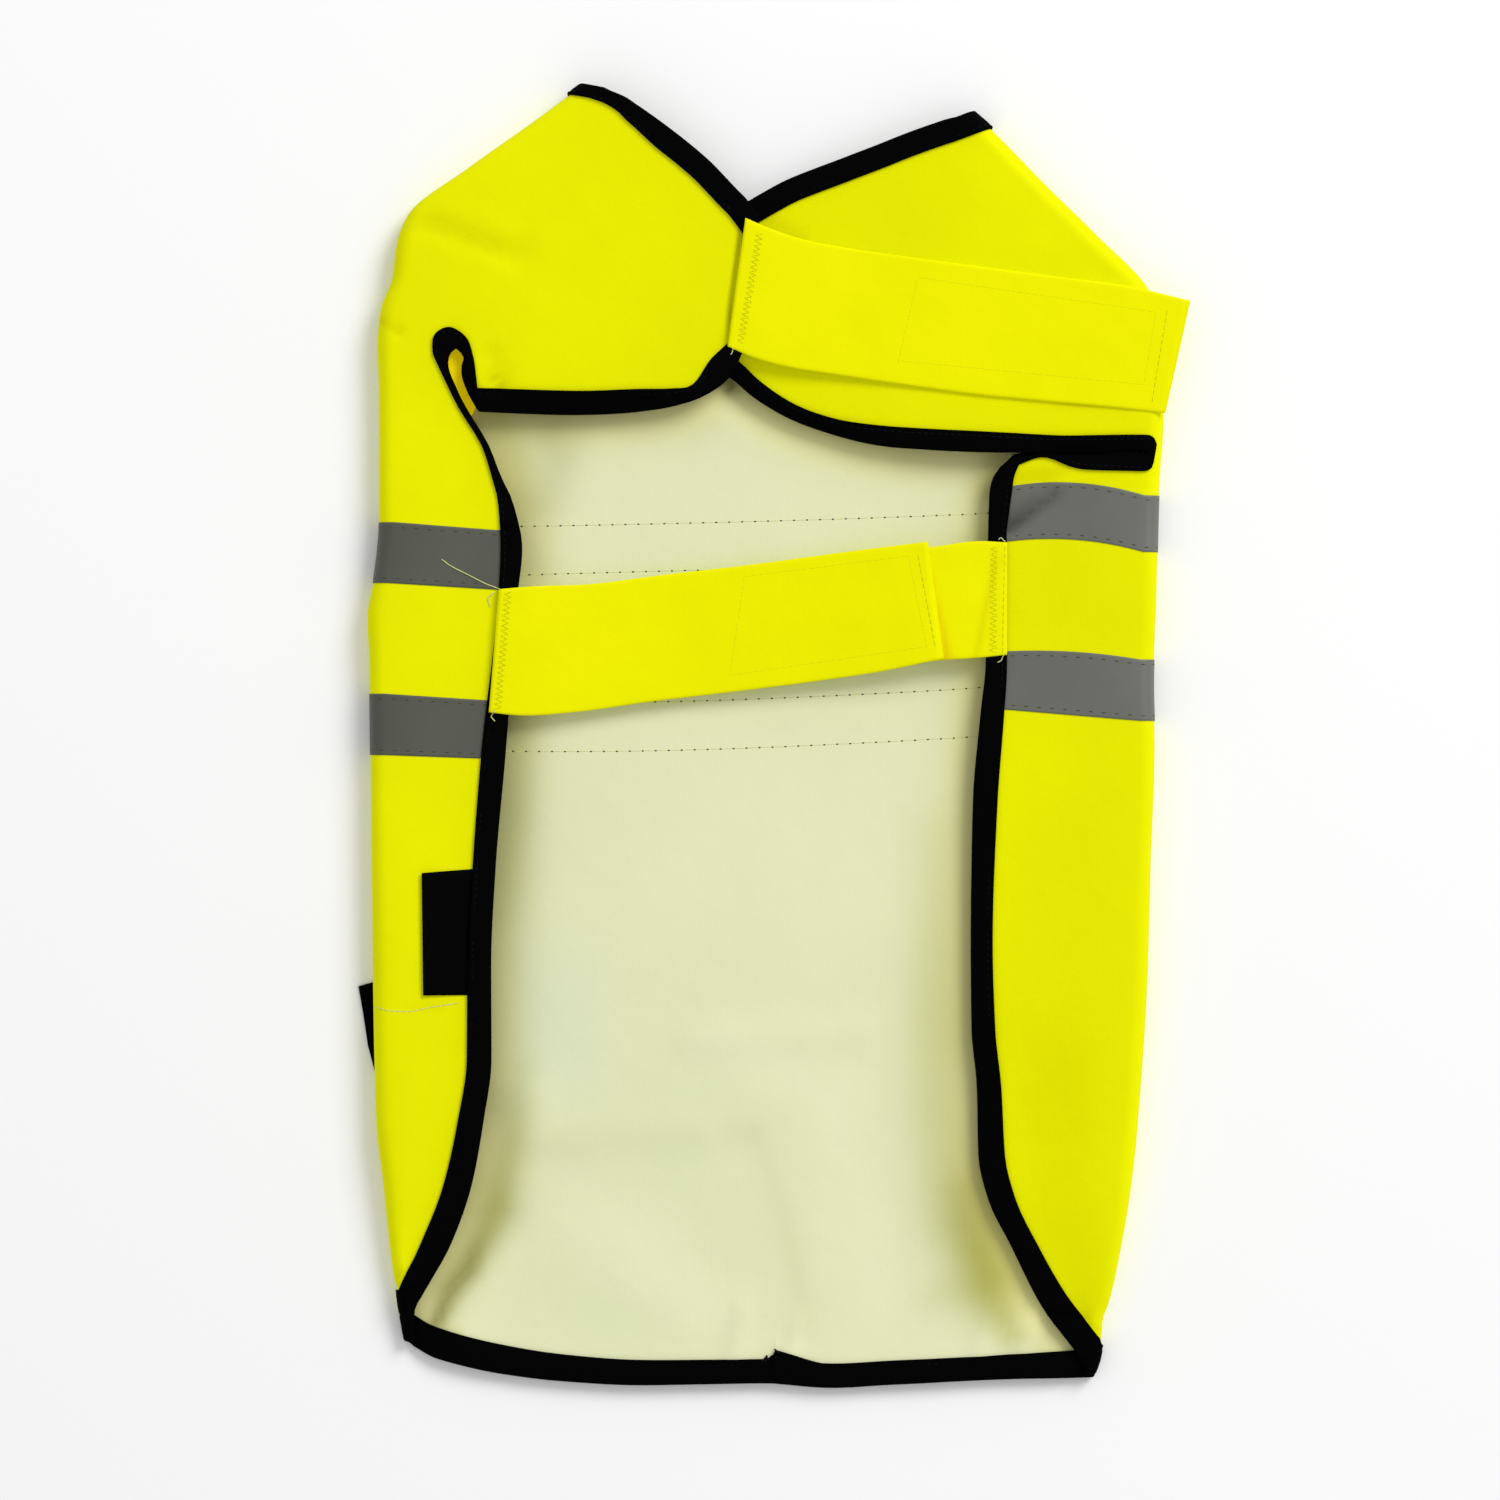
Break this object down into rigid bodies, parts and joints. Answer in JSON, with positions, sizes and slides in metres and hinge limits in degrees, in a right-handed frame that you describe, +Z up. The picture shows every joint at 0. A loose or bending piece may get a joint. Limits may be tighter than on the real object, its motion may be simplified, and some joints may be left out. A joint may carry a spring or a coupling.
{
  "type": "dog high-visibility jacket laid flat",
  "caption": "Dog's high-visibility coat lying flat on its back, sides folded in, bound edges, reflective bands, closed chest and belly straps.",
  "frame": {"origin": "middle of the coat's bounding box on the surface that it lies on", "axes": "+X to the right as seen from above, +Y towards the neck, +Z up, away from the surface"},
  "size_m": [0.3456, 0.5416, 0.0165],
  "materials": {
    "hi_vis": "fluorescent yellow coated woven cloth, pale cream on its inner face",
    "binding": "black ribbed binding tape",
    "reflective": "grey glass-bead reflective tape",
    "woven_label": "black woven label, blank"
  },
  "bodies": {
    "root": {"body": "hi_vis", "neck_binding": "binding", "hem_binding": "binding", "left_side_binding": "binding", "right_side_binding": "binding", "left_leg_binding": "binding", "right_leg_binding": "binding", "rear_reflective_tape": "reflective", "front_reflective_tape": "reflective", "chest_strap": "hi_vis", "belly_strap": "hi_vis", "belly_strap_stub": "hi_vis", "label": "woven_label", "side_tab": "binding"}
  },
  "joints": []
}
